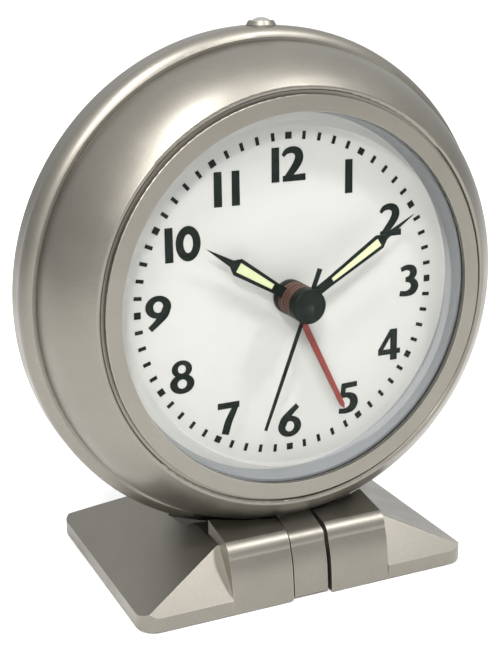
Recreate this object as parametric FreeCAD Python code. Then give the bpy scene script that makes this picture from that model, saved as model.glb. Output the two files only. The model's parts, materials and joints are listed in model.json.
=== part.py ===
import FreeCAD, Part
import math
import os

V = FreeCAD.Vector
os.makedirs("parts", exist_ok=True)

# Travel alarm clock, millimetres.  Row frame: origin on the table under the middle of the base,
# +X to the viewer's right, -Y to the viewer, +Z up.  Case parts are drawn about the hand axis
# (x = 0, z = 0, running along Y) and lifted by AXIS_Z when they are saved.

AXIS_Z = 52.0          # height of the hand axis
DIAL_Y = -14.0         # front face of the dial
CLEAR = 0.1            # radial running clearance

# base
BASE_W, BASE_D = 62.6, 46.0
BASE_Z0, PLINTH_Z, HIP_Z = 0.4, 2.9, 10.6
HIP_X, HIP_Y0, HIP_Y1 = 15.4, -17.0, 10.8
CORNER_R = 3.4
BLOCK_HALF, SLOT_HALF, TONGUE_HALF = 15.0, 3.7, 3.2
BLOCK_BACK_Y, BLOCK_TOP_Z = -12.4, 13.4
PIN_Y, PIN_Z, PIN_R = -17.0, 7.8, 1.25
PIN_X0, PIN_X1 = -13.0, 14.9
TILT_MIN, TILT_MAX = -3.0, 6.0    # degrees the case leans, positive is backwards
TILT_GAP = 0.35                   # space kept between the block and the tilting drum
FOOT_X, FOOT_Y, FOOT_R = 26.3, 17.8, 3.0
PLATE_SCREW_X, PLATE_SCREW_Y0, PLATE_SCREW_Y1 = 16.8, -9.0, 16.8
TONGUE_SCREWS = ((-12.7, 13.1), (-9.9, 12.3))   # y, height of the seat inside the shell

# drum
BEZEL_Y, BEZEL_R, BEZEL_IN_R = -19.6, 34.1, 31.35
BEAD_R = 34.65                    # inside of the shell's rounded lip, outside of the groove
GROOVE_Y = -18.6
SHELL_FRONT = (-19.05, 35.5)
SHELL_LIP = (-19.151, 35.041)
SHELL_REAR = (-7.4, 41.7)
SHELL_MID = (-14.03, 39.93)
RING_R = 44.0
BACK_Y, BACK_FLAT_R = 6.6, 38.8
BACK_IN_Y = 5.0
SEAT_R = 32.4                     # crystal, gasket and rehaut share this outer radius
BUTTON_Y = -3.9
BUTTON_R, BUTTON_TOP = 1.85, 45.3
BUTTON_HOLE_R = 1.25
COLLAR_OUT_R, COLLAR_WAIST, COLLAR_TOP = 2.5, 44.1, 44.75

# movement
MOV_HALF_X, MOV_HALF_Z, MOV_CHAMFER = 30.0, 25.0, 5.0
MOV_Y0, MOV_SPLIT, MOV_Y1 = -13.3, -4.5, 4.2
WALL = 1.0
CELL_Z, CELL_Y, CELL_R = -15.3, -4.55, 7.1
PIVOT_Y = 3.6
STAKES = ((-22.0, 21.0), (22.0, 21.0))
WIRE_SIDES = 10
GEAR_GAP = 0.1         # each wheel blank is this much under its pitch radius

# arbor positions and pitch radii
MOTION = (12.0, 0.0)
ALARM_SET = (-12.0, 0.0)
THIRD = (0.0, 8.5)
INTER = (-6.77, 2.46)
ROTOR = (-10.37, 6.75)
R_CANNON, R_MOTION = 3.0, 9.0
R_MOTION_PINION, R_HOUR = 2.4, 9.6
R_ALARM, R_ALARM_PINION = 9.0, 3.0
R_MINUTE, R_THIRD_PINION = 7.556, 0.944
R_THIRD, R_SECOND_PINION = 7.5, 1.0
R_SECOND, R_INTER_PINION = 6.0, 1.2
R_INTER, R_ROTOR_PINION = 4.8, 0.8

# coil and stator
COIL_X, COIL_Y = -21.5, -1.7
STATOR_Y0, STATOR_Y1 = -1.22, -0.22

# hands: clockwise angle from twelve
HOUR_ANGLE, MINUTE_ANGLE, SECOND_ANGLE, ALARM_ANGLE = -57.2, 58.2, 200.8, 154.4
COLLAR_R = 2.9

# back controls
BOSS_X, BOSS_Z = 33.2, 8.0
SWITCH_Z = 30.0
BUZZER = (14.0, 14.0)
SOUND_R, SLOT_PITCH = 7.0, 2.6


def save(name, shape):
    shape.exportStep("parts/%s.step" % name)


def save_case(name, shape):
    save(name, shape.translated(V(0, 0, AXIS_Z)))


def box(x0, x1, y0, y1, z0, z1):
    return Part.makeBox(x1 - x0, y1 - y0, z1 - z0, V(x0, y0, z0))


def ycyl(r, y0, y1, x=0.0, z=0.0):
    return Part.makeCylinder(r, y1 - y0, V(x, y0, z), V(0, 1, 0))


def xcyl(r, x0, x1, y, z):
    return Part.makeCylinder(r, x1 - x0, V(x0, y, z), V(1, 0, 0))


def zcyl(r, z0, z1, x, y):
    return Part.makeCylinder(r, z1 - z0, V(x, y, z0), V(0, 0, 1))


def tube(outer, inner, y0, y1, x=0.0, z=0.0):
    return ycyl(outer, y0, y1, x, z).cut(ycyl(inner, y0 - 1, y1 + 1, x, z))


def outline(points, place):
    # closed wire; a point with four numbers ends an arc that passes through the last two
    edges = []
    prev = points[0][:2]
    for p in list(points[1:]) + [points[0][:2]]:
        a, b = place(*prev), place(*p[:2])
        if len(p) == 4:
            edges.append(Part.Arc(a, place(*p[2:]), b).toShape())
        else:
            edges.append(Part.makeLine(a, b))
        prev = p[:2]
    return Part.Face(Part.Wire(edges))


def turned(points):
    # points are (y, r)
    face = outline(points, lambda y, r: V(0, y, r))
    return face.revolve(V(0, 0, 0), V(0, 1, 0), 360)


def prism_x(points, x0, x1):
    # points are (y, z)
    return outline(points, lambda y, z: V(x0, y, z)).extrude(V(x1 - x0, 0, 0))


def prism_y(points, y0, y1):
    # points are (x, z)
    return outline(points, lambda x, z: V(x, y0, z)).extrude(V(0, y1 - y0, 0))


def fuse(first, *others):
    return first.multiFuse(list(others)).removeSplitter()


def cut(first, *others):
    return first.cut(Part.makeCompound(list(others)))


def group(shapes):
    return Part.makeCompound(shapes)


def corners(dx, dy):
    return [(sx * dx, sy * dy) for sx in (-1, 1) for sy in (-1, 1)]


def rounded_plate(hx, hy, r, z0, z1):
    k = r * (1 - math.sqrt(0.5))
    pts = [(-hx + r, -hy), (hx - r, -hy), (hx, -hy + r, hx - k, -hy + k), (hx, hy - r),
           (hx - r, hy, hx - k, hy - k), (-hx + r, hy), (-hx, hy - r, -hx + k, hy - k),
           (-hx, -hy + r)]
    pts.append((-hx + r, -hy, -hx + k, -hy + k))
    edges = []
    for a, b in zip(pts[:-1], pts[1:]):
        p, q = V(a[0], a[1], z0), V(b[0], b[1], z0)
        if len(b) == 4:
            edges.append(Part.Arc(p, V(b[2], b[3], z0), q).toShape())
        else:
            edges.append(Part.makeLine(p, q))
    return Part.Face(Part.Wire(edges)).extrude(V(0, 0, z1 - z0))


def loft(z0, rect0, z1, rect1):
    wires = []
    for z, (x0, x1, y0, y1) in ((z0, rect0), (z1, rect1)):
        loop = ((x0, y0), (x1, y0), (x1, y1), (x0, y1), (x0, y0))
        wires.append(Part.makePolygon([V(x, y, z) for x, y in loop]))
    return Part.makeLoft(wires, True, True)


# ---------------------------------------------------------------- base

def block_front():
    # from the bottom edge up to the crest, as (y, z)
    return [(-23.0, BASE_Z0), (-22.75, 4.0), (-21.5, 9.6, -22.35, 6.9), (-19.6, 12.2, -20.85, 11.3)]


def tilted(shape, angle):
    # leaned back about the hinge pin
    copy = shape.copy()
    copy.rotate(V(0, PIN_Y, PIN_Z), V(-1, 0, 0), angle)
    return copy


def make_base_shell():
    hx, hy = BASE_W / 2, BASE_D / 2
    plinth = rounded_plate(hx, hy, CORNER_R, BASE_Z0, PLINTH_Z)
    hip = loft(PLINTH_Z, (-hx, hx, -hy, hy), HIP_Z, (-HIP_X, HIP_X, HIP_Y0, HIP_Y1))
    hip = hip.common(rounded_plate(hx, hy, CORNER_R, PLINTH_Z, HIP_Z))
    ahead = prism_x([(-24.0, 0.0), (-23.0, 0.0)] + block_front() + [(-24.0, 12.2)], -BLOCK_HALF, BLOCK_HALF)
    rear = [(BLOCK_BACK_Y, BLOCK_TOP_Z), (BLOCK_BACK_Y, BASE_Z0)]
    block = prism_x(block_front() + rear, -BLOCK_HALF, BLOCK_HALF)
    body = fuse(fuse(plinth, hip).cut(ahead), block)
    drum = fuse(drum_envelope(TILT_GAP), rear_envelope(TILT_GAP)).translated(V(0, 0, AXIS_Z))
    sweep = [tilted(drum, angle) for angle in (TILT_MIN, 0.0, TILT_MAX / 2, TILT_MAX)]
    body = cut(body, *sweep)
    slot = box(-SLOT_HALF, SLOT_HALF, -24, -7.5, -1, 14)
    pocket = box(-19.5, 19.5, -11.5, 19.5, -1, 3.6)
    ledge = box(-20.6, 20.6, -12.6, 20.6, -1, 1.5)
    pin_hole = xcyl(PIN_R + 0.01, PIN_X0 - 0.05, BLOCK_HALF + 1, PIN_Y, PIN_Z)
    body = cut(body, slot, pocket, ledge, pin_hole)
    for x, y in plate_screw_spots():
        body = body.fuse(zcyl(2.2, 1.5, 3.8, x, y).cut(zcyl(0.83, 1.0, 3.4, x, y)))
    for x, y in corners(FOOT_X, FOOT_Y):
        body = body.cut(zcyl(FOOT_R + 0.05, 0, 1.0, x, y))
    return body.removeSplitter()


def plate_screw_spots():
    return [(sx * PLATE_SCREW_X, y) for y in (PLATE_SCREW_Y0, PLATE_SCREW_Y1) for sx in (-1, 1)]


def make_bottom_plate():
    plate = box(-20.5, 20.5, -12.5, 20.5, 0.5, 1.48)
    plate = plate.cut(box(-SLOT_HALF, SLOT_HALF, -13, -7.5, 0, 2))
    for x, y in plate_screw_spots():
        plate = plate.cut(zcyl(0.9, 0, 2, x, y)).cut(zcyl(1.75, 0, 1.0, x, y))
    return plate


def make_plate_screws():
    screws = []
    for x, y in plate_screw_spots():
        screw = zcyl(1.65, 0.45, 0.98, x, y).fuse(zcyl(0.8, 0.98, 3.3, x, y))
        screws.append(screw.cut(box(x - 1.2, x + 1.2, y - 0.2, y + 0.2, 0.3, 0.7)))
    return group(screws)


def make_feet():
    return group([zcyl(FOOT_R, 0.0, 0.98, x, y) for x, y in corners(FOOT_X, FOOT_Y)])


def make_hinge_pin():
    return xcyl(PIN_R, PIN_X0, PIN_X1, PIN_Y, PIN_Z)


def make_washers():
    rings = []
    for x0 in (-SLOT_HALF + 0.04, TONGUE_HALF + 0.06):
        ring = xcyl(3.2, x0, x0 + 0.4, PIN_Y, PIN_Z)
        rings.append(ring.cut(xcyl(PIN_R + 0.05, x0 - 1, x0 + 2, PIN_Y, PIN_Z)))
    return group(rings)


# ---------------------------------------------------------------- drum

def drum_envelope(extra=0.0):
    y0, r0 = SHELL_FRONT
    y1, r1 = SHELL_REAR
    ym, rm = SHELL_MID
    curve = (y1, r1 + extra, ym, rm + extra)
    return turned([(y0, 0.0), (y0, r0 + extra), curve, (0.0, r1 + extra), (0.0, 0.0)])


def rear_envelope(extra):
    # rear ring and back cover, grown by a clearance
    return turned([(-7.3 - extra, 0.0), (-7.3 - extra, 42.3 + extra), (-6.2, RING_R + extra),
                   (-0.3 + extra, RING_R + extra), (4.9, 41.3 + extra), (BACK_Y + extra, BACK_FLAT_R + extra),
                   (BACK_Y + extra, 0.0)])


def make_tongue():
    pts = [(-22.4, 0.6), (-22.15, 4.0), (-20.9, 9.4, -21.75, 6.8), (-19.2, 11.6, -20.3, 10.9), (-15.2, 12.8),
           (-15.2, 14.5), (-8.4, 13.5), (-8.0, 9.3), (-9.6, 7.6), (-13.0, 5.4), (-14.2, 2.0), (-15.0, 0.6)]
    body = prism_x(pts, -TONGUE_HALF, TONGUE_HALF)
    drum = drum_envelope(0.02).translated(V(0, 0, AXIS_Z))
    body = body.cut(drum).cut(xcyl(PIN_R + 0.05, -5, 5, PIN_Y, PIN_Z))
    for y, seat in TONGUE_SCREWS:
        body = body.cut(zcyl(0.83, 8.8, 16, 0, y))
    return body


def make_tongue_screws():
    screws = []
    for y, seat in TONGUE_SCREWS:
        screws.append(zcyl(0.8, 9.0, seat + 0.05, 0, y).fuse(zcyl(1.2, seat + 0.05, seat + 0.95, 0, y)))
    return group(screws)


def make_front_shell():
    lip = [(GROOVE_Y, BEAD_R), (-18.89, BEAD_R), SHELL_FRONT + SHELL_LIP]
    inside = [(-7.4, 40.6), (-4.0, 40.6), (-4.0, 39.2), (-8.6, 39.2), (-9.5, 39.9),
              (-17.4, 34.73, -14.0, 38.09), (-17.4, 33.0)]
    shell = turned([(GROOVE_Y, 33.0)] + lip + [SHELL_REAR + SHELL_MID] + inside)
    shell = shell.cut(zcyl(BUTTON_HOLE_R, 38, 42, 0, BUTTON_Y))
    for y, seat in TONGUE_SCREWS:
        shell = shell.cut(zcyl(0.85, -43, -37, 0, y)).cut(zcyl(1.3, seat - AXIS_Z, -37, 0, y))
    return shell


def make_bezel():
    seat_y = GROOVE_Y - 0.05
    lip = [(BEZEL_Y, BEZEL_IN_R), (BEZEL_Y, BEZEL_R - 0.15), (-19.45, BEZEL_R, -19.556, BEZEL_R - 0.044),
           (seat_y, BEZEL_R)]
    skirt = [(seat_y, 32.95), (-15.0, 32.95), (-15.0, SEAT_R + 0.05), (-18.8, SEAT_R + 0.05),
             (-18.8, BEZEL_IN_R)]
    return turned(lip + skirt)


def dome(apex_y, rim_y, rim_r):
    # solid ball cap whose apex is in front of the rim
    rise = rim_y - apex_y
    radius = (rim_r ** 2 + rise ** 2) / (2 * rise)
    ball = Part.makeSphere(radius, V(0, apex_y + radius, 0))
    return ball.common(ycyl(rim_r, apex_y - 1, rim_y))


def crown(apex_y, rim_y, rim_r):
    # end point of a ball-shaped arc that starts at the rim and meets the axis squarely
    rise = rim_y - apex_y
    radius = (rim_r ** 2 + rise ** 2) / (2 * rise)
    mid_r = rim_r / 2
    return (apex_y, 0.0, apex_y + radius - math.sqrt(radius ** 2 - mid_r ** 2), mid_r)


def make_crystal():
    outer = turned([(-18.7, 0.0), (-18.7, 31.1), (-22.2, 24.9, -21.1, 29.2), crown(-24.2, -22.2, 24.9)])
    inner = turned([(-17.0, 0.0), (-17.0, 30.35), (-21.1, 24.1, -20.1, 28.3), crown(-23.0, -21.1, 24.1)])
    return fuse(ycyl(SEAT_R, -18.7, -17.9), outer).cut(inner).removeSplitter()


def make_gasket():
    return tube(SEAT_R - 0.05, 31.65, -17.86, -17.48)


def make_rehaut():
    return turned([(-17.86, 31.2), (-17.86, 31.6), (-17.44, 31.6), (-17.44, SEAT_R), (-14.04, SEAT_R),
                   (-14.04, 30.8)])


def make_rear_ring():
    ring = turned([(-7.3, 41.0), (-7.3, 42.3), (-4.4, RING_R, -6.5, 43.5), (-1.6, RING_R),
                   (-0.3, 42.9, -0.65, 43.7), (-0.3, 40.7), (-7.3, 40.7)])
    return ring.cut(zcyl(COLLAR_OUT_R + 0.02, 40, 45, 0, BUTTON_Y))


def sound_slots():
    x, z = BUZZER
    slots = []
    for i in range(-2, 3):
        rise = SLOT_PITCH * i
        half = math.sqrt(SOUND_R ** 2 - rise ** 2)
        slots.append(box(x - half, x + half, 4, 8, z + rise - 0.6, z + rise + 0.6))
    return slots


def make_back_cover():
    cover = turned([(-0.25, 42.5), (BACK_Y, BACK_FLAT_R, 4.9, 41.3), (BACK_Y, 0.0), (BACK_IN_Y, 0.0),
                    (BACK_IN_Y, 37.6), (3.0, 39.0), (-3.9, 39.0), (-3.9, 40.5), (-0.25, 40.5)])
    cutters = [box(-26.5, 26.5, 4, 8, -22.9, -7.7), box(-2.3, 6.3, 4, 8, SWITCH_Z - 1.25, SWITCH_Z + 1.25),
               ycyl(1.2, 4, 8, *MOTION), ycyl(1.2, 4, 8, *ALARM_SET),
               zcyl(BUTTON_HOLE_R, 38, 42, 0, BUTTON_Y)]
    for x, z in corners(BOSS_X, BOSS_Z):
        cutters.append(ycyl(1.05, 4, 8, x, z))
        cutters.append(ycyl(2.05, 5.6, 8, x, z))
    cover = cut(cover, *cutters, *sound_slots())
    rails = []
    for s in (-1, 1):
        x0, x1, x2 = sorted((27.6 * s, 29.2 * s)) + [26.4 * s]
        rails.append(box(x0, x1, BACK_Y - 0.1, 9.1, -25, -5))
        rails.append(box(min(x2, x0), max(x2, x1), 8.25, 9.1, -25, -5))
    stop = box(-20, 20, BACK_Y - 0.1, 7.9, -6.0, -5.0)
    return fuse(cover, stop, *rails)


def make_battery_door():
    door = box(-27.3, 27.3, 6.75, 7.95, -24.2, -6.3)
    ribs = [box(-5, 5, 7.9, 8.7, z, z + 0.7) for z in (-10.4, -11.9, -13.4)]
    return fuse(door, *ribs)


def make_case_screws():
    screws = []
    for x, z in corners(BOSS_X, BOSS_Z):
        screw = ycyl(0.95, -7.5, 5.62, x, z).fuse(ycyl(1.9, 5.62, 6.45, x, z))
        for hx, hz in ((1.2, 0.2), (0.2, 1.2)):
            screw = screw.cut(box(x - hx, x + hx, 6.1, 7, z - hz, z + hz))
        screws.append(screw)
    return group(screws)


# ---------------------------------------------------------------- dial and hands

def make_dial_plate():
    return tube(33.5, 2.65, DIAL_Y, DIAL_Y + 0.5)


def make_center_washer():
    return tube(2.95, 2.6, DIAL_Y - 0.5, DIAL_Y - 0.04)


def blade(profile, y0, y1, angle):
    # profile is the right half as (half width, distance from the axis)
    pts = [(w, d) for w, d in profile] + [(-w, d) for w, d in reversed(profile) if w > 0]
    return spin(prism_y(pts, y0, y1), angle)


def spin(shape, angle):
    # clockwise as seen from the front
    copy = shape.copy()
    copy.rotate(V(0, 0, 0), V(0, 1, 0), angle)
    return copy


def make_alarm_hand():
    arm = blade([(0.6, 2.0), (0.42, 22.8), (0.0, 23.7)], -15.0, -14.75, ALARM_ANGLE)
    return fuse(tube(COLLAR_R, 2.3, -15.6, -14.7), arm.cut(ycyl(2.31, -16, -14)))


def make_hour_hand():
    arm = blade([(0.95, 2.0), (0.95, 4.6), (1.5, 12.6), (0.62, 13.8), (0.0, 19.2)], -17.0, -16.75, HOUR_ANGLE)
    window = spin(prism_y([(-0.45, 5.2), (-0.85, 12.5), (0.85, 12.5), (0.45, 5.2)], -18, -16), HOUR_ANGLE)
    return fuse(tube(COLLAR_R, 1.65, -17.7, -15.75), arm.cut(ycyl(1.66, -18, -16)).cut(window))


def make_hour_lume():
    lume = prism_y([(-0.43, 5.22), (-0.83, 12.48), (0.83, 12.48), (0.43, 5.22)], -16.98, -16.77)
    return spin(lume, HOUR_ANGLE)


def make_minute_hand():
    arm = blade([(0.8, 2.0), (0.8, 5.6), (1.3, 16.9), (0.5, 18.2), (0.0, 24.5)], -19.3, -19.05, MINUTE_ANGLE)
    window = spin(prism_y([(-0.35, 6.4), (-0.72, 16.8), (0.72, 16.8), (0.35, 6.4)], -20, -18), MINUTE_ANGLE)
    return fuse(tube(COLLAR_R, 1.05, -19.7, -17.95), arm.cut(ycyl(1.06, -20, -18)).cut(window))


def make_minute_lume():
    lume = prism_y([(-0.33, 6.42), (-0.70, 16.78), (0.70, 16.78), (0.33, 6.42)], -19.28, -19.07)
    return spin(lume, MINUTE_ANGLE)


def second_blade():
    arm = blade([(0.42, -6.4), (0.36, 0.0), (0.25, 21.9)], -20.95, -20.75, SECOND_ANGLE)
    return fuse(arm, ycyl(1.2, -20.95, -20.75))


def make_second_hand():
    return second_blade().cut(ycyl(0.45, -22, -20))


def make_hub_cap():
    cap = turned([(-21.9, 0.0), (-21.9, 2.6), (-21.55, 2.95, -21.8, 2.85), (-19.95, 2.95), (-19.95, 0.0)])
    return cap.cut(ycyl(0.45, -21.4, -19)).cut(second_blade())


# ---------------------------------------------------------------- movement

def movement_outline(off=0.0):
    hx, hz = MOV_HALF_X + off, MOV_HALF_Z + off
    c = MOV_CHAMFER + off * (2 - math.sqrt(2))
    return [(-hx, -hz + c), (-hx + c, -hz), (hx - c, -hz), (hx, -hz + c), (hx, hz - c), (hx - c, hz),
            (-hx + c, hz), (-hx, hz - c)]


def make_dial_carrier():
    rim = tube(36.9, 33.7, -14.9, -13.4)
    plate = ycyl(37.4, -13.45, -11.95)
    body = fuse(plate, rim).cut(prism_y(movement_outline(0.1), -16, 5)).cut(ycyl(33.7, -16, -13.46))
    bosses = [ycyl(2.3, -12.0, 4.95, x, z) for x, z in corners(BOSS_X, BOSS_Z)]
    bracket = box(-2.5, 2.5, -12.0, 3.55, 33.6, 34.25)
    body = fuse(body, bracket, *bosses)
    return cut(body, *[ycyl(0.98, -8.0, 6, x, z) for x, z in corners(BOSS_X, BOSS_Z)])


def make_movement_front():
    hollow = prism_y(movement_outline(-WALL), MOV_Y0 + WALL, 0)
    body = prism_y(movement_outline(), MOV_Y0, MOV_SPLIT).cut(hollow)
    body = body.fuse(ycyl(2.55, -14.6, MOV_Y0 + 0.1)).cut(ycyl(2.3 + CLEAR, -15, -12))
    pivots = [ycyl(0.9, -12.8, -12, *MOTION), ycyl(0.9, -12.8, -12, *ALARM_SET)]
    posts = []
    for x, z in STAKES:
        for r, y0, y1 in ((1.8, -12.4, -6.92), (0.9, -7.0, -6.05), (1.5, -6.08, -5.5)):
            posts.append(ycyl(r, y0, y1, x, z))
    return fuse(cut(body, *pivots), *posts)


def make_movement_rear():
    hollow = prism_y(movement_outline(-WALL), -6, MOV_Y1 - WALL)
    body = prism_y(movement_outline(), MOV_SPLIT + 0.05, MOV_Y1).cut(hollow)
    wall = box(-29.1, 29.1, MOV_SPLIT + 0.05, MOV_Y1 - 0.5, -7.6, -7.1)
    body = body.fuse(wall)
    cutters = [box(-26.5, 26.5, 3, 5, -22.9, -7.8), ycyl(1.0, 3, 5, *MOTION), ycyl(1.0, 3, 5, *ALARM_SET)]
    for x, z in ((0.0, 0.0), THIRD, INTER, ROTOR):
        cutters.append(ycyl(0.5, 3, 3.75, x, z))
    return cut(body, *cutters)


def make_train_bridge():
    plate = prism_y([(-24.5, -5.5), (15.5, -5.5), (24.5, 5.0), (24.5, 23.5), (-24.5, 23.5)], -6.9, -6.1)
    holes = [ycyl(0.92, -8, -5, x, z) for x, z in STAKES]
    bores = ((0.6, (0.0, 0.0)), (0.55, THIRD), (0.45, INTER), (0.45, ROTOR), (1.2, MOTION), (1.2, ALARM_SET))
    holes += [ycyl(r, -8, -5, *spot) for r, spot in bores]
    return cut(plate, *holes)


def wheel(radius, y0, y1, x, z, spokes=4):
    rim = tube(radius - GEAR_GAP, radius * 0.78, y0, y1, x, z)
    hub = ycyl(max(1.2, radius * 0.22), y0, y1, x, z)
    arms = []
    for i in range(spokes):
        arm = box(0.0, radius * 0.8, y0, y1, -radius * 0.07, radius * 0.07)
        arm.rotate(V(0, 0, 0), V(0, 1, 0), 360.0 * i / spokes + 20)
        arm.translate(V(x, 0, z))
        arms.append(arm)
    return fuse(rim, hub, *arms)


def make_alarm_wheel():
    body = fuse(wheel(R_ALARM, -12.0, -11.4, 0, 0), ycyl(2.9, -12.0, -11.4), ycyl(2.3, -15.6, -11.4))
    return body.cut(ycyl(1.65 + CLEAR, -16, -11))


def make_hour_wheel():
    body = fuse(wheel(R_HOUR, -11.0, -10.4, 0, 0), ycyl(2.4, -11.0, -10.4), ycyl(1.65, -17.7, -10.4))
    return body.cut(ycyl(1.05 + CLEAR, -18, -10))


def make_minute_wheel():
    pinion = ycyl(R_CANNON - GEAR_GAP, -9.9, -9.1)
    body = fuse(wheel(R_MINUTE, -8.2, -7.6, 0, 0), pinion, ycyl(1.05, -19.7, -7.2))
    return body.cut(ycyl(0.45 + CLEAR, -20, -7))


def make_second_wheel():
    return fuse(wheel(R_SECOND, -4.2, -3.6, 0, 0), ycyl(R_SECOND_PINION - GEAR_GAP, -5.8, -4.2),
                ycyl(0.45, -21.35, PIVOT_Y))


def make_third_wheel():
    x, z = THIRD
    return fuse(wheel(R_THIRD, -5.6, -5.0, x, z), ycyl(R_THIRD_PINION - GEAR_GAP, -8.5, -7.3, x, z),
                ycyl(0.45, -8.6, PIVOT_Y, x, z))


def make_intermediate_wheel():
    x, z = INTER
    return fuse(wheel(R_INTER, -2.8, -2.2, x, z), ycyl(R_INTER_PINION - GEAR_GAP, -4.4, -2.8, x, z),
                ycyl(0.4, -6.7, PIVOT_Y, x, z))


def make_rotor():
    x, z = ROTOR
    return fuse(ycyl(R_ROTOR_PINION - GEAR_GAP, -3.1, -1.6, x, z), ycyl(1.2, 0.3, 0.8, x, z),
                ycyl(0.4, -6.7, PIVOT_Y, x, z))


def make_rotor_magnet():
    return tube(3.0, 0.72, -1.55, 0.28, *ROTOR)


def make_motion_wheel():
    x, z = MOTION
    return fuse(wheel(R_MOTION, -9.9, -9.1, x, z), ycyl(R_MOTION_PINION - GEAR_GAP, -11.1, -9.9, x, z),
                ycyl(0.8, -12.7, 11.0, x, z))


def make_alarm_pinion():
    x, z = ALARM_SET
    return fuse(ycyl(R_ALARM_PINION - GEAR_GAP, -12.05, -11.35, x, z), ycyl(0.8, -12.7, 11.0, x, z))


def knob(radius, y0, y1, x, z, flutes):
    body = turned([(y0, 0.0), (y0, radius * 0.72), (y0 + 0.8, radius * 0.8), (y0 + 0.8, radius),
                   (y1 - 0.7, radius), (y1, radius - 0.7, y1 - 0.2, radius - 0.2), (y1, 0.0)])
    body.translate(V(x, 0, z))
    reach = radius + 0.12
    for i in range(flutes):
        a = 2 * math.pi * i / flutes
        body = body.cut(ycyl(0.42, y0 + 1.0, y1 + 1, x + reach * math.cos(a), z + reach * math.sin(a)))
    return body.cut(ycyl(0.8, y0 - 1, 11.0, x, z))


def make_coil_bobbin():
    x, y = COIL_X, COIL_Y
    body = fuse(zcyl(1.5, 1.6, 14.9, x, y), zcyl(3.3, 1.6, 2.2, x, y), zcyl(3.3, 14.3, 14.9, x, y))
    return body.cut(box(x - 0.82, x + 0.82, y - 0.52, y + 0.47, 1, 16))


def make_coil_winding():
    return zcyl(3.0, 2.22, 14.28, COIL_X, COIL_Y).cut(zcyl(1.52, 1, 16, COIL_X, COIL_Y))


def make_coil_core():
    return box(-22.3, -20.7, -2.2, -1.24, -0.4, 16.9)


def make_stator():
    x, z = ROTOR
    upper = [(-12.4, 10.6), (-19.6, 17.0), (-23.4, 17.0), (-23.4, 15.2), (-17.9, 15.2), (-14.6, 9.0)]
    lower = [(-13.9, 3.2), (-15.2, 5.4), (-18.0, 1.4), (-23.4, 1.4), (-23.4, -0.5), (-18.4, -0.5)]
    arms = [prism_y(points, STATOR_Y0, STATOR_Y1) for points in (upper, lower)]
    body = fuse(ycyl(4.9, STATOR_Y0, STATOR_Y1, x, z), *arms)
    return body.cut(ycyl(3.3, -2, 1, x, z))


def make_circuit_board():
    board = prism_y([(3.0, -6.0), (22.0, -6.0), (25.0, 0.0), (25.0, 20.0), (3.0, 20.0)], 1.2, 2.0)
    return board.cut(ycyl(1.3, 0, 3, *MOTION))


def make_quartz_can():
    return fuse(xcyl(0.95, 14.5, 20.5, 0.2, 16.0), xcyl(0.7, 20.5, 20.9, 0.2, 16.0))


def make_chip_blob():
    return dome(0.1, 1.18, 2.6).translated(V(8.5, 0, 12.0))


def make_buzzer():
    x, z = BUZZER
    return fuse(tube(9.8, 8.9, 4.22, 4.7, x, z), ycyl(9.0, 4.22, 4.45, x, z), ycyl(6.0, 4.45, 4.6, x, z))


def make_cell():
    body = xcyl(CELL_R, -25.2, 24.1, CELL_Y, CELL_Z)
    can = body.makeFillet(0.6, [edge for edge in body.Edges if edge.Closed])
    return fuse(can, xcyl(2.7, 24.0, 25.3, CELL_Y, CELL_Z))


def make_contact_positive():
    plate = box(25.35, 25.75, CELL_Y - 3, CELL_Y + 3, CELL_Z - 3, CELL_Z + 7.4)
    return plate.fuse(box(25.35, 28.9, CELL_Y - 3, CELL_Y + 3, CELL_Z - 3.0, CELL_Z - 2.6))


def coil_spring(radius, wire, pitch, height, centre, axis):
    # the wire's section is a regular polygon, close to round
    helix = Part.makeHelix(pitch, height, radius)
    corners_at = [2 * math.pi * i / WIRE_SIDES for i in range(WIRE_SIDES + 1)]
    ring = Part.makePolygon([V(radius + wire * math.cos(a), 0, wire * math.sin(a)) for a in corners_at])
    spring = Part.Wire(helix).makePipeShell([ring], True, True)
    spring.Placement = FreeCAD.Placement(centre, FreeCAD.Rotation(V(0, 0, 1), axis))
    return spring


def make_contact_negative():
    plate = box(-28.95, -28.65, CELL_Y - 4, CELL_Y + 4, CELL_Z - 4, CELL_Z + 7.4)
    spring = coil_spring(2.8, 0.25, 0.95, 2.85, V(-28.35, CELL_Y, CELL_Z), V(1, 0, 0))
    return group([plate, spring])


# ---------------------------------------------------------------- top button and switch

def make_button_collar():
    bore = BUTTON_R + 0.1
    taper = Part.makeCone(COLLAR_OUT_R, bore + 0.2, COLLAR_TOP - COLLAR_WAIST, V(0, BUTTON_Y, COLLAR_WAIST))
    body = zcyl(COLLAR_OUT_R, 42.9, COLLAR_WAIST, 0, BUTTON_Y).fuse(taper)
    return body.cut(zcyl(bore, 40, 46, 0, BUTTON_Y))


def make_top_button():
    rim, rise = BUTTON_TOP - 0.8, 0.8
    head = fuse(zcyl(BUTTON_R, 42.9, rim, 0, BUTTON_Y), zcyl(1.0, 37.4, 43.0, 0, BUTTON_Y),
                zcyl(1.5, 38.2, 38.75, 0, BUTTON_Y))
    radius = (BUTTON_R ** 2 + rise ** 2) / (2 * rise)
    ball = Part.makeSphere(radius, V(0, BUTTON_Y, BUTTON_TOP - radius))
    return fuse(head, ball.common(zcyl(BUTTON_R, rim, BUTTON_TOP + 1, 0, BUTTON_Y)))


def make_button_spring():
    return coil_spring(1.4, 0.12, 0.6, 1.9, V(0, BUTTON_Y, 40.78), V(0, 0, 1))


def make_button_switch():
    body = box(-2.2, 2.2, BUTTON_Y - 2.0, BUTTON_Y + 2.0, 34.28, 35.9)
    return fuse(body, zcyl(1.0, 35.8, 36.5, 0, BUTTON_Y))


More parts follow.
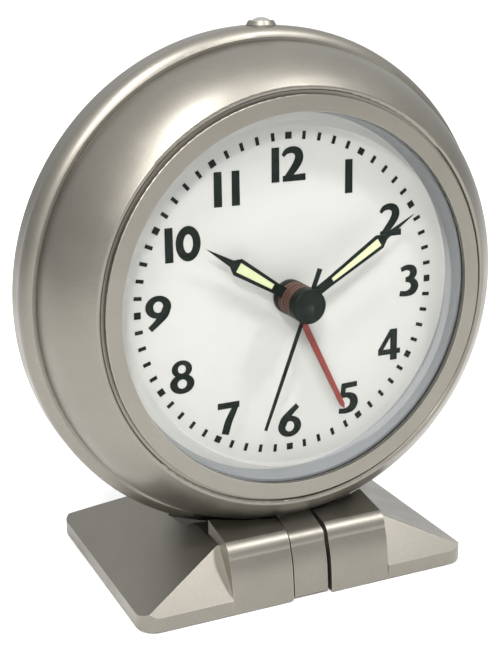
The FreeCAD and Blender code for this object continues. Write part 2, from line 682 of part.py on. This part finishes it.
def make_alarm_slider():
    return fuse(box(-6, 6, 3.9, 4.8, 27.6, 32.4), box(-2, 2, 4.7, 6.9, SWITCH_Z - 1, SWITCH_Z + 1),
                box(-3.5, 3.5, 6.85, 7.6, 28.1, 31.9), box(-3.5, -2.7, 7.5, 8.6, 28.1, 31.9),
                box(-0.4, 0.4, 7.5, 8.6, 28.1, 31.9), box(2.7, 3.5, 7.5, 8.6, 28.1, 31.9))


def make_switch_board():
    pads = [box(-5, 9, 3.25, 3.6, z, z + 0.8) for z in (28.4, 30.8)]
    return fuse(box(-9, 13, 2.5, 3.3, 26.4, 33.5), *pads)


def main():
    save("base_shell", make_base_shell())
    save("base_bottom_plate", make_bottom_plate())
    save("base_plate_screws", make_plate_screws())
    save("base_feet", make_feet())
    save("hinge_pin", make_hinge_pin())
    save("hinge_washers", make_washers())
    save("hinge_tongue", make_tongue())
    save("tongue_screws", make_tongue_screws())
    save_case("front_shell", make_front_shell())
    save_case("bezel_ring", make_bezel())
    save_case("crystal", make_crystal())
    save_case("crystal_gasket", make_gasket())
    save_case("rehaut_ring", make_rehaut())
    save_case("rear_ring", make_rear_ring())
    save_case("back_cover", make_back_cover())
    save_case("battery_door", make_battery_door())
    save_case("case_screws", make_case_screws())
    save_case("dial_plate", make_dial_plate())
    save_case("center_washer", make_center_washer())
    save_case("alarm_hand", make_alarm_hand())
    save_case("hour_hand", make_hour_hand())
    save_case("hour_hand_lume", make_hour_lume())
    save_case("minute_hand", make_minute_hand())
    save_case("minute_hand_lume", make_minute_lume())
    save_case("second_hand", make_second_hand())
    save_case("hub_cap", make_hub_cap())
    save_case("dial_carrier", make_dial_carrier())
    save_case("movement_front_case", make_movement_front())
    save_case("movement_rear_case", make_movement_rear())
    save_case("train_bridge", make_train_bridge())
    save_case("alarm_wheel", make_alarm_wheel())
    save_case("hour_wheel", make_hour_wheel())
    save_case("minute_wheel", make_minute_wheel())
    save_case("second_wheel", make_second_wheel())
    save_case("third_wheel", make_third_wheel())
    save_case("intermediate_wheel", make_intermediate_wheel())
    save_case("rotor_arbor", make_rotor())
    save_case("rotor_magnet", make_rotor_magnet())
    save_case("motion_wheel", make_motion_wheel())
    save_case("alarm_set_pinion", make_alarm_pinion())
    save_case("time_set_knob", knob(5.0, 7.2, 12.6, MOTION[0], MOTION[1], 24))
    save_case("alarm_set_knob", knob(4.2, 7.2, 12.0, ALARM_SET[0], ALARM_SET[1], 20))
    save_case("coil_bobbin", make_coil_bobbin())
    save_case("coil_winding", make_coil_winding())
    save_case("coil_core", make_coil_core())
    save_case("stator", make_stator())
    save_case("circuit_board", make_circuit_board())
    save_case("quartz_can", make_quartz_can())
    save_case("chip_blob", make_chip_blob())
    save_case("buzzer_disc", make_buzzer())
    save_case("battery_cell", make_cell())
    save_case("contact_positive", make_contact_positive())
    save_case("contact_negative", make_contact_negative())
    save_case("button_collar", make_button_collar())
    save_case("top_button", make_top_button())
    save_case("button_spring", make_button_spring())
    save_case("button_switch", make_button_switch())
    save_case("alarm_slider", make_alarm_slider())
    save_case("switch_board", make_switch_board())


main()
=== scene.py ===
import json
import math

import bmesh
import bpy
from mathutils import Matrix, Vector


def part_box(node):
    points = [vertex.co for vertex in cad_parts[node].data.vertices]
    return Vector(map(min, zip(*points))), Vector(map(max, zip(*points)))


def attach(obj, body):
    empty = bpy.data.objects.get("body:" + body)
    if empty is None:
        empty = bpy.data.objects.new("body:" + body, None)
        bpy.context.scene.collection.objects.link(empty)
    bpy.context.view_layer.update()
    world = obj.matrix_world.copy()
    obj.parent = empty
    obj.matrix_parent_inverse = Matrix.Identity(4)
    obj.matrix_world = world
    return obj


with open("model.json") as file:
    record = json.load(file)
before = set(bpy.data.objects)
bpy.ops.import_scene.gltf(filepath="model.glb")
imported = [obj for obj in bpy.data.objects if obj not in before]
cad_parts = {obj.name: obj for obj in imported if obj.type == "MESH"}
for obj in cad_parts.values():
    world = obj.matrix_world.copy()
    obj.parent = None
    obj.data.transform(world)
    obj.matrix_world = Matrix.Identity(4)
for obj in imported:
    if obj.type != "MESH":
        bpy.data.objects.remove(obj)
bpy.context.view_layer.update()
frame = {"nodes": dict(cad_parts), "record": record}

NODES = frame["nodes"]
MM = 0.001

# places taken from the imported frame, metres
DIAL_LOW, DIAL_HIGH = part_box("dial_plate")
AXIS_Z = (DIAL_LOW.z + DIAL_HIGH.z) / 2
DIAL_FACE = DIAL_LOW.y

# camera: place in metres, angles in degrees, lens and sensor in millimetres
CAMERA_AT = (-0.09102, -0.19981, 0.10744)
CAMERA_AZIMUTH, CAMERA_DOWN, CAMERA_ROLL = 24.26, 16.26, -0.78
CAMERA_LENS, SENSOR = 70.64, 36.0

# lights: direction and distance from the dial's centre, disk size (all metres), watts and colour
WHITE = (1.0, 1.0, 1.0)
LIGHTS = {
    "key": ((-0.38, -0.755, 0.62), 0.75, 0.13, 4.2, (1.0, 0.985, 0.96)),
    "top": ((-0.25, -0.41, 0.88), 0.70, 0.10, 3.2, WHITE),
    "facet": ((0.39, -0.485, 0.78), 0.80, 0.10, 3.4, WHITE),
}
# the studio dome brightens from the horizon up to the height where it is full
HORIZON_GLOW, OVERHEAD_GLOW, FULL_GLOW_RISE = 0.56, 1.55, 0.90
FLOOR_HALF = 8.0

# dial print, metres
MARK_R, MARK_LONG, MARK_WIDE, MARK_SQUARE = 27.0 * MM, 1.35 * MM, 0.62 * MM, 1.15 * MM
PRINT_FRONT = DIAL_FACE - 0.05 * MM
PRINT_REAR = DIAL_FACE + 0.02 * MM
NUMERAL_HEIGHT = 5.7 * MM

# each hour's distance from the hand axis to its numeral's middle, millimetres
NUMERAL_R = {12: 22.3, 1: 22.4, 2: 22.4, 3: 23.4, 4: 22.6, 5: 23.0,
             6: 22.3, 7: 23.0, 8: 22.7, 9: 23.4, 10: 21.8, 11: 22.1}

# turned sleeves on the hand hub, metres
SLEEVE_CORE, SLEEVE_LIP = 2.5 * MM, 0.08 * MM
GROOVE_MOUTH, GROOVE_FLOOR = 0.12 * MM, 0.06 * MM
SLEEVE_OVERHANG = 0.01 * MM
BLACK_SLEEVE_R, BROWN_SLEEVE_R = 2.97 * MM, 2.93 * MM
SLEEVE_SEGMENTS = 64

# rounded edges of the foot and its hinge strip, metres
SOFT_EDGE = 0.35 * MM


# ---------------------------------------------------------------- node helpers

def shader(name):
    mat = bpy.data.materials.new(name)
    mat.use_nodes = True
    tree = mat.node_tree
    tree.nodes.clear()
    out = tree.nodes.new("ShaderNodeOutputMaterial")
    bsdf = tree.nodes.new("ShaderNodeBsdfPrincipled")
    tree.links.new(bsdf.outputs[0], out.inputs[0])
    return mat, tree, bsdf


def add(tree, kind, settings=(), **inputs):
    made = tree.nodes.new(kind)
    for key, value in dict(settings).items():
        setattr(made, key, value)
    for key, value in inputs.items():
        socket = made.inputs[key.replace("_", " ")]
        if isinstance(value, bpy.types.NodeSocket):
            tree.links.new(value, socket)
        else:
            socket.default_value = value
    return made


def coords(tree):
    return add(tree, "ShaderNodeTexCoord").outputs["Object"]


def noise(tree, scale, detail=3.0, stretch=None):
    where = coords(tree)
    if stretch:
        where = add(tree, "ShaderNodeMapping", Vector=where, Scale=stretch).outputs[0]
    return add(tree, "ShaderNodeTexNoise", Vector=where, Scale=scale, Detail=detail).outputs["Fac"]


def spread(tree, value, low, high, start=0.3, end=0.7):
    # value going from start to end comes out as low to high
    made = tree.nodes.new("ShaderNodeMapRange")
    tree.links.new(value, made.inputs[0])
    for slot, number in zip((1, 2, 3, 4), (start, end, low, high)):
        made.inputs[slot].default_value = number
    return made.outputs[0]


def tint(tree, value, low, high):
    # the same, between two colours
    made = tree.nodes.new("ShaderNodeValToRGB")
    tree.links.new(value, made.inputs[0])
    for element, position, colour in zip(made.color_ramp.elements, (0.3, 0.7), (low, high)):
        element.position = position
        element.color = (*colour, 1.0)
    return made.outputs[0]


def blend_colour(tree, factor, first, second):
    made = tree.nodes.new("ShaderNodeMix")
    made.data_type = "RGBA"
    tree.links.new(factor, made.inputs[0])
    for slot, colour in ((6, first), (7, second)):
        if isinstance(colour, bpy.types.NodeSocket):
            tree.links.new(colour, made.inputs[slot])
        else:
            made.inputs[slot].default_value = (*colour, 1.0)
    return made.outputs[2]


def worn_edges(tree, radius):
    # mask for the edge colour (partly rubbed wear, partly a painted highlight where it is lighter): 1 on
    # sharp outer and inner edges, 0 on open faces
    rounded = add(tree, "ShaderNodeBevel", {"samples": 4}, Radius=radius).outputs[0]
    flat = add(tree, "ShaderNodeNewGeometry").outputs["Normal"]
    dot = tree.nodes.new("ShaderNodeVectorMath")
    dot.operation = "DOT_PRODUCT"
    tree.links.new(rounded, dot.inputs[0])
    tree.links.new(flat, dot.inputs[1])
    return spread(tree, dot.outputs["Value"], 1.0, 0.0, 0.86, 0.995)


def bump(tree, bsdf, height, strength, distance):
    made = add(tree, "ShaderNodeBump", Height=height, Strength=strength, Distance=distance)
    tree.links.new(made.outputs[0], bsdf.inputs["Normal"])


def shade(colour, factor):
    return tuple(min(1.0, c * factor) for c in colour)


# ---------------------------------------------------------------- materials

# a wave texture of scale 1 repeats about every 0.314 m
WAVE_PERIOD = 0.314


def vary_roughness(tree, bsdf, value, middle, below, above):
    tree.links.new(spread(tree, value, middle - below, middle + above), bsdf.inputs["Roughness"])


def satin_metal(name, colour, rough, grain=2600.0, wear_and_highlight_radius=0.3 * MM, edge=1.35, stretch=None):
    mat, tree, bsdf = shader(name)
    patches = noise(tree, 70.0, 4.0)
    fine = noise(tree, grain, 5.0, stretch)
    base = tint(tree, patches, shade(colour, 0.94), shade(colour, 1.05))
    grainy = blend_colour(tree, spread(tree, fine, 0.0, 0.35), base, shade(colour, 0.78))
    # sharp edges are blended to a lighter colour: partly rubbed wear, partly a painted highlight
    mask = worn_edges(tree, wear_and_highlight_radius)
    tree.links.new(blend_colour(tree, mask, grainy, shade(colour, edge)), bsdf.inputs["Base Color"])
    vary_roughness(tree, bsdf, noise(tree, 160.0, 6.0), rough, 0.035, 0.045)
    bsdf.inputs["Metallic"].default_value = 1.0
    bump(tree, bsdf, fine, 0.10, 0.02 * MM)
    return mat


def moulded(name, colour, rough, grain, depth, edge, sheen=0.5):
    mat, tree, bsdf = shader(name)
    patches = noise(tree, 55.0, 4.0)
    fine = noise(tree, grain, 3.0)
    base = tint(tree, patches, shade(colour, 0.88), shade(colour, 1.10))
    # sharp edges are blended to the edge colour: where it is lighter, partly rubbed wear and partly a
    # painted highlight; the lume's edge factor below 1 makes its edges darker
    mask = worn_edges(tree, 0.3 * MM)
    tree.links.new(blend_colour(tree, mask, base, shade(colour, edge)), bsdf.inputs["Base Color"])
    vary_roughness(tree, bsdf, noise(tree, 240.0, 5.0), rough, 0.07, 0.07)
    bsdf.inputs["Specular IOR Level"].default_value = sheen
    bump(tree, bsdf, fine, 0.35, depth)
    return mat


def enamel(name, colour, rough, speckle, sheen):
    mat, tree, bsdf = shader(name)
    patches = noise(tree, 40.0, 3.0)
    fine = noise(tree, 5200.0, 2.0)
    base = tint(tree, patches, shade(colour, 0.985), shade(colour, 1.01))
    dots = blend_colour(tree, spread(tree, fine, 0.0, speckle), base, shade(colour, 0.6))
    tree.links.new(dots, bsdf.inputs["Base Color"])
    vary_roughness(tree, bsdf, noise(tree, 300.0, 4.0), rough, 0.05, 0.05)
    bsdf.inputs["Specular IOR Level"].default_value = sheen
    bump(tree, bsdf, fine, 0.12, 0.01 * MM)
    return mat


def banded(name, colour, gap_colour, axis, pitch, metallic, rough):
    # wire windings, rolling lines or a sleeve's stripes: fine bands across one axis, pitch in metres
    mat, tree, bsdf = shader(name)
    wave = add(tree, "ShaderNodeTexWave", {"bands_direction": axis}, Vector=coords(tree),
               Scale=WAVE_PERIOD / pitch, Distortion=0.4, Detail=1.0).outputs["Fac"]
    patches = noise(tree, 120.0, 4.0)
    base = tint(tree, patches, shade(colour, 0.9), shade(colour, 1.08))
    gaps = spread(tree, wave, 1.0, 0.0, 0.0, 0.35)
    tree.links.new(blend_colour(tree, gaps, base, gap_colour), bsdf.inputs["Base Color"])
    vary_roughness(tree, bsdf, patches, rough, 0.06, 0.06)
    bsdf.inputs["Metallic"].default_value = metallic
    bump(tree, bsdf, wave, 0.5, pitch * 0.3)
    return mat


def solder_mask(name):
    # dark green board with paler raised tracks, turned to run across the board's face
    mat, tree, bsdf = shader(name)
    turn = (math.pi / 2, 0.0, 0.6)
    turned = add(tree, "ShaderNodeMapping", Vector=coords(tree), Rotation=turn).outputs[0]
    tracks = add(tree, "ShaderNodeTexBrick", Vector=turned, Scale=190.0, Mortar_Size=0.06).outputs["Fac"]
    mask_green = tint(tree, noise(tree, 90.0), (0.02, 0.12, 0.05), (0.03, 0.17, 0.08))
    tree.links.new(blend_colour(tree, tracks, mask_green, (0.10, 0.34, 0.16)), bsdf.inputs["Base Color"])
    tree.links.new(spread(tree, noise(tree, 400.0), 0.25, 0.38), bsdf.inputs["Roughness"])
    bump(tree, bsdf, tracks, 0.4, 0.03 * MM)
    return mat


def lens_material(name):
    # thin clear lens: see-through, with mirror reflections that grow towards its edge
    mat = bpy.data.materials.new(name)
    mat.use_nodes = True
    tree = mat.node_tree
    tree.nodes.clear()
    out = tree.nodes.new("ShaderNodeOutputMaterial")
    clear = add(tree, "ShaderNodeBsdfTransparent", Color=(0.985, 0.99, 0.99, 1.0))
    smear = spread(tree, noise(tree, 90.0, 5.0), 0.03, 0.09)
    gloss = add(tree, "ShaderNodeBsdfGlossy", Color=(1.0, 1.0, 1.0, 1.0), Roughness=smear)
    fresnel = add(tree, "ShaderNodeFresnel", IOR=1.33).outputs[0]
    mix = tree.nodes.new("ShaderNodeMixShader")
    tree.links.new(spread(tree, fresnel, 0.0, 0.07, 0.03, 0.8), mix.inputs[0])
    tree.links.new(clear.outputs[0], mix.inputs[1])
    tree.links.new(gloss.outputs[0], mix.inputs[2])
    tree.links.new(mix.outputs[0], out.inputs[0])
    return mat


def make_materials():
    # keyed by the record's material slots, with the hub sleeves' brown added
    return {
        "nickel": satin_metal("satin_nickel", (0.187, 0.177, 0.154), rough=0.41),
        "steel": satin_metal("zinc_steel", (0.34, 0.34, 0.35), rough=0.30, grain=3200.0, wear_and_highlight_radius=0.2 * MM,
                             stretch=(1.0, 1.0, 0.2)),
        "chrome": satin_metal("polished_nickel", (0.36, 0.35, 0.32), rough=0.16, grain=4200.0,
                              wear_and_highlight_radius=0.1 * MM, edge=1.2),
        "magnet": satin_metal("ferrite_magnet", (0.11, 0.11, 0.115), rough=0.5, grain=1900.0),
        "lens": lens_material("clear_lens"),
        "rubber": moulded("foot_rubber", (0.030, 0.030, 0.032), rough=0.78, grain=1400.0,
                          depth=0.06 * MM, edge=1.8, sheen=0.3),
        "black_plastic": moulded("black_moulding", (0.021, 0.021, 0.023), rough=0.48, grain=2200.0,
                                 depth=0.04 * MM, edge=1.9),
        "grey_plastic": moulded("grey_moulding", (0.40, 0.41, 0.40), rough=0.5, grain=1600.0,
                                depth=0.03 * MM, edge=1.2),
        "white_plastic": moulded("natural_acetal", (0.74, 0.73, 0.68), rough=0.42, grain=1500.0,
                                 depth=0.02 * MM, edge=1.08),
        "lume": moulded("pale_lume", (0.37, 0.395, 0.235), rough=0.75, grain=3200.0,
                        depth=0.06 * MM, edge=0.9, sheen=0.2),
        "rehaut_grey": enamel("silver_rehaut", (0.175, 0.181, 0.186), rough=0.42, speckle=0.18, sheen=0.3),
        "dial_paint": enamel("dial_white", (0.345, 0.341, 0.324), rough=0.6, speckle=0.05, sheen=0.3),
        "red_paint": enamel("alarm_red", (0.15, 0.026, 0.021), rough=0.42, speckle=0.25, sheen=0.2),
        "black_paint": enamel("hand_black", (0.005, 0.008, 0.006), rough=0.42, speckle=0.3, sheen=0.10),
        "collar_brown": enamel("collar_brown", (0.072, 0.036, 0.027), rough=0.45, speckle=0.2, sheen=0.15),
        "copper": banded("enamelled_wire", (0.60, 0.23, 0.09), (0.22, 0.07, 0.03), axis="Z",
                         pitch=0.16 * MM, metallic=0.9, rough=0.28),
        "brass": banded("rolled_brass", (0.70, 0.52, 0.20), (0.52, 0.37, 0.13), axis="X",
                        pitch=0.6 * MM, metallic=1.0, rough=0.30),
        "cell": banded("cell_sleeve", (0.055, 0.055, 0.06), (0.035, 0.035, 0.04), axis="X",
                       pitch=4.0 * MM, metallic=0.3, rough=0.30),
        "board": solder_mask("solder_mask_green"),
    }


def dress_cad(materials):
    slots = {row["node"]: row["material_slot"] for row in frame["record"]["subparts"]}
    for name, obj in NODES.items():
        obj.data.materials.clear()
        obj.data.materials.append(materials[slots[name]])


def soften_edges(name, width):
    # flat facets are joined first, so the bevel runs along whole edges
    obj = NODES[name]
    flat = obj.modifiers.new("join_flats", "DECIMATE")
    flat.decimate_type = "DISSOLVE"
    flat.angle_limit = math.radians(0.5)
    edge = obj.modifiers.new("soft_edges", "BEVEL")
    edge.width = width
    edge.segments = 3
    edge.limit_method = "ANGLE"
    edge.angle_limit = math.radians(28)
    edge.harden_normals = True


# ---------------------------------------------------------------- mesh helpers

def make_object(name, bm, material, body, smooth=False):
    mesh = bpy.data.meshes.new(name)
    bmesh.ops.recalc_face_normals(bm, faces=bm.faces)
    bm.to_mesh(mesh)
    bm.free()
    obj = bpy.data.objects.new(name, mesh)
    bpy.context.scene.collection.objects.link(obj)
    if smooth:
        mesh.shade_smooth()
        mesh.set_sharp_from_angle(angle=math.radians(32))
    mesh.materials.append(material)
    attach(obj, body)


def prism(bm, outline):
    # raised print; outline is a closed list of (x, z) in metres about the hand axis
    rear = [bm.verts.new((x, PRINT_REAR, z + AXIS_Z)) for x, z in outline]
    front = [bm.verts.new((x, PRINT_FRONT, z + AXIS_Z)) for x, z in outline]
    bm.faces.new(front)
    bm.faces.new(list(reversed(rear)))
    count = len(outline)
    for i in range(count):
        j = (i + 1) % count
        bm.faces.new((front[i], front[j], rear[j], rear[i]))


def lathe(profile, segments):
    # profile is a closed list of (y, r) in metres about the hand axis
    bm = bmesh.new()
    rings = []
    for i in range(segments):
        a = 2 * math.pi * i / segments
        rings.append([bm.verts.new((r * math.cos(a), y, AXIS_Z + r * math.sin(a))) for y, r in profile])
    count = len(profile)
    for i in range(segments):
        here, there = rings[i], rings[(i + 1) % segments]
        for k in range(count):
            n = (k + 1) % count
            bm.faces.new((here[k], here[n], there[n], there[k]))
    return bm


# ---------------------------------------------------------------- dial print

CURVE_STEPS = 7
OVAL_POINTS = 28


def smooth_line(points):
    # Catmull-Rom through points of any dimension
    out = []
    pts = [points[0]] + list(points) + [points[-1]]
    for i in range(1, len(pts) - 2):
        p0, p1, p2, p3 = (Vector(p) for p in pts[i - 1:i + 3])
        for s in range(CURVE_STEPS):
            t = s / CURVE_STEPS
            out.append(0.5 * (2 * p1 + (p2 - p0) * t + (2 * p0 - 5 * p1 + 4 * p2 - p3) * t * t
                              + (3 * p1 - p0 - 3 * p2 + p3) * t ** 3))
    out.append(Vector(pts[-2]))
    return out


def pen_stroke(points):
    # points are (x, z, half width); two make a straight bar, more make a curve of changing width
    line = [Vector(p) for p in points] if len(points) == 2 else smooth_line(points)
    left, right = [], []
    for i, p in enumerate(line):
        a, b = line[max(i - 1, 0)], line[min(i + 1, len(line) - 1)]
        run = Vector((b.x - a.x, b.y - a.y)).normalized()
        left.append((p.x - run.y * p.z, p.y + run.x * p.z))
        right.append((p.x + run.y * p.z, p.y - run.x * p.z))
    return left + right[::-1]


def oval(cx, cz, rx, rz):
    angles = [2 * math.pi * i / OVAL_POINTS for i in range(OVAL_POINTS)]
    return [(cx + rx * math.cos(a), cz + rz * math.sin(a)) for a in angles]


NINE_TAIL = [(0.12, 0.04, 0.085), (0.36, 0.24, 0.10), (0.56, 0.45, 0.13), (0.645, 0.64, 0.125)]
SIX_TAIL = [(0.66, 0.96, 0.085), (0.42, 0.76, 0.10), (0.22, 0.55, 0.13), (0.135, 0.36, 0.125)]

# each digit is one unit high: its width, its pen strokes, and its rings as
# (middle x, middle z, outer half width, outer half height, inner half width, inner half height)
DIGITS = {
    "1": (0.25, [[(0.125, 0.0, 0.125), (0.125, 1.0, 0.120)]], []),
    "2": (0.76, [[(0.04, 0.74, 0.050), (0.15, 0.865, 0.080), (0.34, 0.905, 0.098), (0.51, 0.83, 0.125),
                  (0.555, 0.66, 0.135), (0.47, 0.47, 0.125), (0.32, 0.28, 0.110), (0.15, 0.09, 0.090)],
                 [(0.03, 0.085, 0.085), (0.76, 0.10, 0.100)]], []),
    "3": (0.68, [[(0.05, 0.86, 0.070), (0.26, 0.915, 0.085), (0.45, 0.85, 0.115), (0.485, 0.70, 0.125),
                  (0.38, 0.575, 0.090), (0.22, 0.535, 0.070)],
                 [(0.22, 0.535, 0.070), (0.43, 0.49, 0.100), (0.545, 0.32, 0.135), (0.46, 0.16, 0.125),
                  (0.26, 0.088, 0.088), (0.02, 0.115, 0.085)]], []),
    "4": (0.80, [[(0.50, 0.96, 0.075), (0.07, 0.31, 0.075)], [(0.02, 0.275, 0.085), (0.80, 0.275, 0.085)],
                 [(0.565, 0.0, 0.120), (0.565, 1.0, 0.118)]], []),
    "5": (0.68, [[(0.14, 0.905, 0.090), (0.64, 0.925, 0.085)], [(0.185, 0.98, 0.085), (0.135, 0.55, 0.085)],
                 [(0.08, 0.575, 0.060), (0.30, 0.60, 0.085), (0.49, 0.50, 0.125), (0.535, 0.33, 0.140),
                  (0.45, 0.165, 0.125), (0.25, 0.09, 0.090), (0.01, 0.11, 0.080)]], []),
    "6": (0.78, [SIX_TAIL], [(0.39, 0.32, 0.39, 0.335, 0.150, 0.165)]),
    "7": (0.72, [[(0.02, 0.90, 0.095), (0.72, 0.90, 0.095)],
                 [(0.64, 0.93, 0.085), (0.50, 0.66, 0.105), (0.36, 0.38, 0.118), (0.24, 0.0, 0.120)]], []),
    "8": (0.76, [], [(0.38, 0.735, 0.315, 0.265, 0.125, 0.130), (0.38, 0.285, 0.38, 0.300, 0.145, 0.140)]),
    "9": (0.78, [NINE_TAIL], [(0.39, 0.68, 0.39, 0.335, 0.150, 0.165)]),
    "0": (0.76, [], [(0.38, 0.50, 0.38, 0.51, 0.145, 0.270)]),
}
USUAL_GAP = 0.075
WIDER_GAPS = {"11": 0.30}


def ring_prism(bm, outline, hole):
    # outline and hole have the same number of points
    loops = []
    for y in (PRINT_FRONT, PRINT_REAR):
        for ring in (outline, hole):
            loops.append([bm.verts.new((x, y, z + AXIS_Z)) for x, z in ring])
    front_out, front_in, rear_out, rear_in = loops
    count = len(outline)
    for i in range(count):
        j = (i + 1) % count
        bm.faces.new((front_out[i], front_out[j], front_in[j], front_in[i]))
        bm.faces.new((rear_out[j], rear_out[i], rear_in[i], rear_in[j]))
        bm.faces.new((front_out[j], front_out[i], rear_out[i], rear_out[j]))
        bm.faces.new((front_in[i], front_in[j], rear_in[j], rear_in[i]))


def print_part(outline, hole=None):
    bm = bmesh.new()
    if hole:
        ring_prism(bm, outline, hole)
    else:
        prism(bm, outline)
    bmesh.ops.recalc_face_normals(bm, faces=bm.faces)
    mesh = bpy.data.meshes.new("print_part")
    bm.to_mesh(mesh)
    bm.free()
    return mesh


def united(meshes):
    # exact union of closed meshes
    base = bpy.data.objects.new("union_base", meshes[0])
    bpy.context.scene.collection.objects.link(base)
    helpers = []
    for mesh in meshes[1:]:
        other = bpy.data.objects.new("union_other", mesh)
        bpy.context.scene.collection.objects.link(other)
        step = base.modifiers.new("union", "BOOLEAN")
        step.operation, step.solver, step.object = "UNION", "EXACT", other
        helpers.append(other)
    bpy.context.view_layer.update()
    joined = bpy.data.meshes.new_from_object(base.evaluated_get(bpy.context.evaluated_depsgraph_get()))
    for obj in [base] + helpers:
        bpy.data.objects.remove(obj)
    return joined


def digit_mesh(digit, left, centre):
    strokes, rings = DIGITS[digit][1:]

    def place(points):
        return [(centre[0] + (left + x) * NUMERAL_HEIGHT, centre[1] + (z - 0.5) * NUMERAL_HEIGHT)
                for x, z in points]

    parts = [print_part(place(pen_stroke(pen))) for pen in strokes]
    for cx, cz, rx, rz, ix, iz in rings:
        parts.append(print_part(place(oval(cx, cz, rx, rz)), place(oval(cx, cz, ix, iz))))
    return united(parts)


def make_numerals(material):
    bm = bmesh.new()
    for hour, radius in NUMERAL_R.items():
        text = str(hour)
        gap = WIDER_GAPS.get(text, USUAL_GAP)
        widths = [DIGITS[digit][0] for digit in text]
        angle = math.radians(30 * hour)
        centre = (radius * MM * math.sin(angle), radius * MM * math.cos(angle))
        left = -(sum(widths) + gap * (len(text) - 1)) / 2
        for digit, width in zip(text, widths):
            bm.from_mesh(digit_mesh(digit, left, centre))
            left += width + gap
    make_object("dial_numerals", bm, material, "case")


def make_marks(material):
    bm = bmesh.new()
    for minute in range(60):
        angle = 2 * math.pi * minute / 60
        out, across = (math.sin(angle), math.cos(angle)), (math.cos(angle), -math.sin(angle))
        wide = (MARK_WIDE if minute % 5 else MARK_SQUARE) / 2
        half = (MARK_LONG if minute % 5 else MARK_SQUARE) / 2
        corners = []
        for u, w in ((-half, -wide), (half, -wide), (half, wide), (-half, wide)):
            r = MARK_R + u
            corners.append((out[0] * r + across[0] * w, out[1] * r + across[1] * w))
        prism(bm, corners)
    make_object("dial_minute_marks", bm, material, "case")


# ---------------------------------------------------------------- hub sleeves

def grooved_sleeve(name, node, radius, grooves, material, body):
    # thin turned sleeve over a hand's collar, with shallow grooves round it
    low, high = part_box(node)
    y0, y1 = low.y - SLEEVE_OVERHANG, high.y + SLEEVE_OVERHANG
    inset = radius - SLEEVE_LIP
    profile = [(y0, SLEEVE_CORE), (y0, inset), (y0 + SLEEVE_LIP, radius)]
    for g in range(grooves):
        mid = y0 + (y1 - y0) * (g + 1) / (grooves + 1)
        profile += [(mid - GROOVE_MOUTH, radius), (mid - GROOVE_FLOOR, inset),
                    (mid + GROOVE_FLOOR, inset), (mid + GROOVE_MOUTH, radius)]
    profile += [(y1 - SLEEVE_LIP, radius), (y1, inset), (y1, SLEEVE_CORE)]
    make_object(name, lathe(profile, SLEEVE_SEGMENTS), material, body, smooth=True)


def make_hub(black, brown):
    grooved_sleeve("alarm_collar_sleeve", "alarm_hand", BLACK_SLEEVE_R, 0, black, "alarm_indicator")
    grooved_sleeve("hour_collar_sleeve", "hour_hand", BROWN_SLEEVE_R, 1, brown, "hours")
    grooved_sleeve("minute_collar_sleeve", "minute_hand", BROWN_SLEEVE_R, 1, brown, "minutes")


# ---------------------------------------------------------------- stage

def make_floor():
    bm = bmesh.new()
    corners = ((-1, -1), (1, -1), (1, 1), (-1, 1))
    bm.faces.new([bm.verts.new((x * FLOOR_HALF, y * FLOOR_HALF, 0.0)) for x, y in corners])
    mesh = bpy.data.meshes.new("floor")
    bm.to_mesh(mesh)
    bm.free()
    floor = bpy.data.objects.new("floor", mesh)
    bpy.context.scene.collection.objects.link(floor)
    mat, tree, bsdf = shader("pale_floor")
    mottled = tint(tree, noise(tree, 3.0), (0.90, 0.90, 0.895), (0.93, 0.93, 0.925))
    tree.links.new(mottled, bsdf.inputs["Base Color"])
    bsdf.inputs["Roughness"].default_value = 0.85
    bsdf.inputs["Specular IOR Level"].default_value = 0.1
    mesh.materials.append(mat)


def area_light(name, direction, distance, size, power, colour):
    light = bpy.data.lights.new(name, "AREA")
    light.shape = "DISK"
    light.size = size
    light.energy = power
    light.color = colour
    obj = bpy.data.objects.new(name, light)
    bpy.context.scene.collection.objects.link(obj)
    aim = Vector((0.0, 0.0, AXIS_Z))
    away = Vector(direction).normalized()
    obj.location = aim + away * distance
    obj.rotation_euler = away.to_track_quat("Z", "Y").to_euler()


def make_dome():
    world = bpy.data.worlds.new("studio")
    bpy.context.scene.world = world
    world.use_nodes = True
    tree = world.node_tree
    sky = tree.nodes["Background"]
    sky.inputs["Color"].default_value = (*WHITE, 1.0)
    outward = add(tree, "ShaderNodeTexCoord").outputs["Generated"]
    rise = add(tree, "ShaderNodeSeparateXYZ", Vector=outward).outputs["Z"]
    glow = spread(tree, rise, HORIZON_GLOW, OVERHEAD_GLOW, 0.0, FULL_GLOW_RISE)
    tree.links.new(glow, sky.inputs["Strength"])


def make_camera():
    azimuth, down, roll = (math.radians(a) for a in (CAMERA_AZIMUTH, CAMERA_DOWN, CAMERA_ROLL))
    ahead = Vector((math.sin(azimuth), math.cos(azimuth), 0.0))
    forward = ahead * math.cos(down) - Vector((0.0, 0.0, math.sin(down)))
    level = Vector((math.cos(azimuth), -math.sin(azimuth), 0.0))
    up = level.cross(forward)
    right = level * math.cos(roll) + up * math.sin(roll)
    up = right.cross(forward)
    data = bpy.data.cameras.new("camera")
    data.sensor_width = SENSOR
    data.lens = CAMERA_LENS
    data.clip_start = 0.01
    camera = bpy.data.objects.new("camera", data)
    bpy.context.scene.collection.objects.link(camera)
    matrix = camera.matrix_world.copy()
    for row in range(3):
        matrix[row][0], matrix[row][1], matrix[row][2] = right[row], up[row], -forward[row]
        matrix[row][3] = CAMERA_AT[row]
    camera.matrix_world = matrix
    bpy.context.scene.camera = camera


def main():
    materials = make_materials()
    dress_cad(materials)
    for name in ("base_shell", "hinge_tongue"):
        soften_edges(name, SOFT_EDGE)
    make_marks(materials["black_paint"])
    make_numerals(materials["black_paint"])
    make_hub(materials["black_paint"], materials["collar_brown"])
    make_floor()
    make_dome()
    for name, (direction, distance, size, power, colour) in LIGHTS.items():
        area_light(name, direction, distance, size, power, colour)
    make_camera()
    bpy.context.scene.view_settings.view_transform = "Standard"


main()
